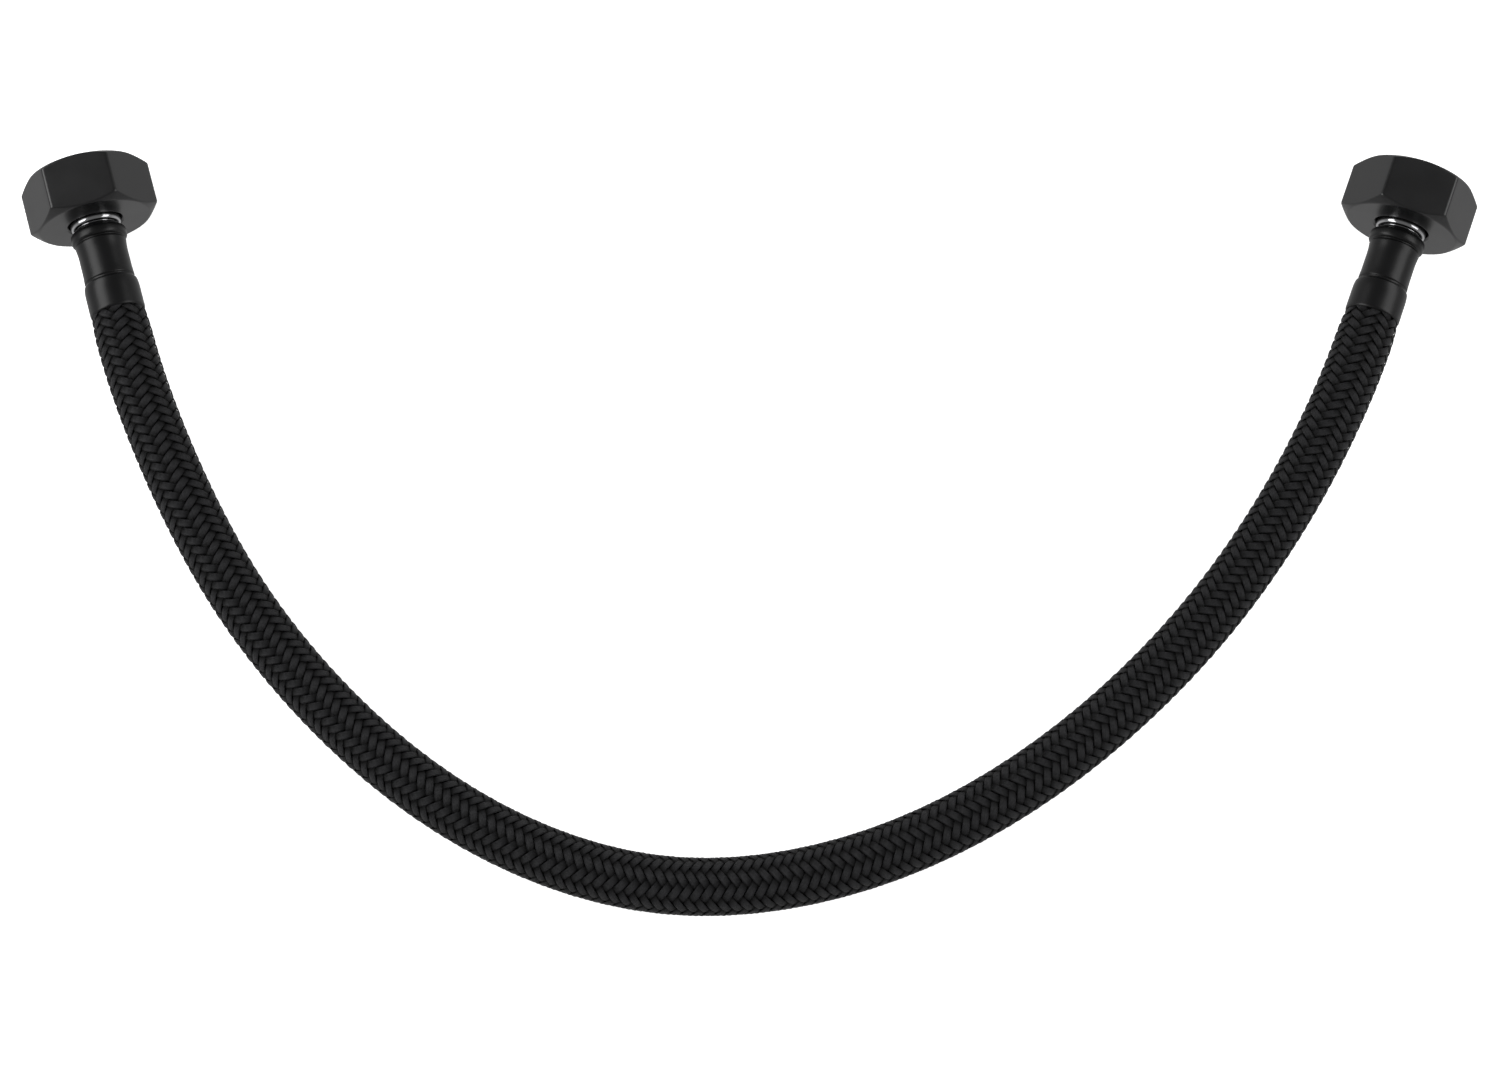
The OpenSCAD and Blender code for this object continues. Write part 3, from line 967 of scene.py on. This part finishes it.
class SUPPLYLINE_OT_ferrules(bpy.types.Operator):
    """Add the two crimped ferrules: rolled rim, waist, groove and skirt"""

    bl_idname = "supply_line.ferrules"
    bl_label = "Ferrules"

    WALL = 0.45 * MM
    # The turned-in lip closes the throat behind the insert's bright neck.
    LIP = 0.75 * MM
    LIP_DEPTH = 0.9 * MM
    LIP_WALL = 0.3 * MM
    RIM_HEM = 0.7 * MM
    # (distance from the rim's end, outer radius, rounding), in millimetres
    PROFILE = (
        (0.0, 5.0, 0.2), (0.1, 5.9, 0.85), (2.15, 5.9, 0.75),       # rolled rim
        (2.4, 5.2, 0.1), (2.65, 5.2, 0.1),                          # crease under the rim
        (2.9, 5.4, 0.2), (4.6, 5.2, 1.2), (9.4, 5.22, 1.0),         # waist
        (11.05, 5.32, 0.15), (11.25, 5.1, 0.08), (11.6, 5.1, 0.08),  # groove
        (11.95, 5.6, 0.25), (13.2, 5.78, 1.0), (18.5, 5.8, 0.3), (18.8, 5.5, 0.15),  # skirt
    )
    # The inside follows the outside between these distances.
    INSIDE = (3, 18.6)

    def execute(self, context):
        sizes = context.scene.supply_line_fittings
        black = colours().ferrule_black
        coating = electrophoretic_black("black coated pressed ferrule", black, 0.34, 0.3, 1.4)
        for side, fitting in FITTINGS.items():
            ferrule = lathe(side + "_crimped_ferrule", fitting, self.corners(sizes), coating, steps=5)
            crisp(ferrule)
            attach(ferrule, HOSE_BODY)
            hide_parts(side + "_ferrule")
        return {"FINISHED"}

    def corners(self, sizes):
        """The ferrule's outline: lip, outside, inside, and the hem that the rim's roll ends in."""
        start = stations(sizes)["ferrule"]
        lip = sizes.neck_diameter / 2 - self.LIP_DEPTH
        lip_z, hem_z = start - self.LIP, start + self.RIM_HEM
        outer = [(r * MM, start + z * MM, f * MM) for z, r, f in self.PROFILE]
        inside = [p for p in self.PROFILE if self.INSIDE[0] < p[0] < self.INSIDE[1]]
        inner = [(r * MM - self.WALL, start + z * MM, 0) for z, r, _ in reversed(inside)]
        return ([(lip, lip_z, 0.05 * MM), (lip + self.LIP_WALL, lip_z, 0.1 * MM)] + outer + inner
                + [(inner[-1][0], hem_z, 0), (lip, hem_z, 0.1 * MM)])


class SUPPLYLINE_OT_gaskets(bpy.types.Operator):
    """Add the rubber gaskets and the slip rings inside the nuts"""

    bl_idname = "supply_line.gaskets"
    bl_label = "Gaskets and slip rings"

    GASKET_RADII = (4.5 * MM, 9.16 * MM)
    # Gaps between a slip ring and the neck, and between it and the thread's crests.
    RING_CLEARANCE = 0.08 * MM
    RING_MARGIN = 0.076 * MM

    def execute(self, context):
        sizes = context.scene.supply_line_fittings
        at = stations(sizes)
        rubber = moulded_black("moulded EPDM gasket rubber", colours().rubber, 0.62, 0.35, 1.5)
        acetal = moulded_black("turned black acetal", colours().acetal, 0.42, 0.5, 1.48)
        ring_radii = (sizes.neck_diameter / 2 + self.RING_CLEARANCE, THREAD_RADIUS - self.RING_MARGIN)
        for side, fitting in FITTINGS.items():
            gasket = self.washer(side + "_rubber_gasket", fitting, self.GASKET_RADII, at["gasket"],
                                 GASKET, 0.3 * MM, rubber)
            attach(gasket, HOSE_BODY)
            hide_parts(side + "_gasket")
            ring = self.washer(side + "_acetal_slip_ring", fitting, ring_radii, at["slip_ring"],
                               SLIP_RING, 0.12 * MM, acetal)
            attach(ring, side + "_slip_ring")
            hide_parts(side + "_slip_ring")
        return {"FINISHED"}

    def washer(self, name, fitting, radii, start, thickness, edge, material):
        """A flat ring with rounded edges."""
        inner, outer = radii
        corners = [(inner, start, edge), (outer, start, edge),
                   (outer, start + thickness, edge), (inner, start + thickness, edge)]
        washer = lathe(name, fitting, corners, material)
        crisp(washer)
        return washer


class SUPPLYLINE_PT_panel(bpy.types.Panel):
    """Lists the line's pieces and sizes in the 3D view's sidebar"""

    bl_label = "Supply Line"
    bl_space_type = "VIEW_3D"
    bl_region_type = "UI"
    bl_category = "Supply Line"

    def draw(self, context):
        for settings in GROUPS:
            box = self.layout.box()
            values = getattr(context.scene, settings)
            for name in GROUPS[settings].__annotations__:
                box.prop(values, name)
        for operator in OPERATORS:
            self.layout.operator(operator.bl_idname)


GROUPS = {
    "supply_line_hose": HoseSettings,
    "supply_line_fittings": FittingSettings,
    "supply_line_finishes": FinishSettings,
}
# The stage makes the camera, which comes first, and then the hose.
OPERATORS = (
    SUPPLYLINE_OT_stage, SUPPLYLINE_OT_inner_tube, SUPPLYLINE_OT_braid, SUPPLYLINE_OT_nuts,
    SUPPLYLINE_OT_inserts, SUPPLYLINE_OT_ferrules, SUPPLYLINE_OT_gaskets,
)
CLASSES = (*GROUPS.values(), *OPERATORS, SUPPLYLINE_PT_panel)


def register():
    for cls in CLASSES:
        bpy.utils.register_class(cls)
    for name, group in GROUPS.items():
        setattr(bpy.types.Scene, name, PointerProperty(type=group))


def unregister():
    for name in GROUPS:
        delattr(bpy.types.Scene, name)
    for cls in reversed(CLASSES):
        bpy.utils.unregister_class(cls)


def main():
    register()
    bpy.ops.supply_line.stage()
    bpy.ops.supply_line.inner_tube()
    bpy.ops.supply_line.braid()
    bpy.ops.supply_line.nuts()
    bpy.ops.supply_line.inserts()
    bpy.ops.supply_line.ferrules()
    bpy.ops.supply_line.gaskets()


if __name__ == "__main__":
    main()
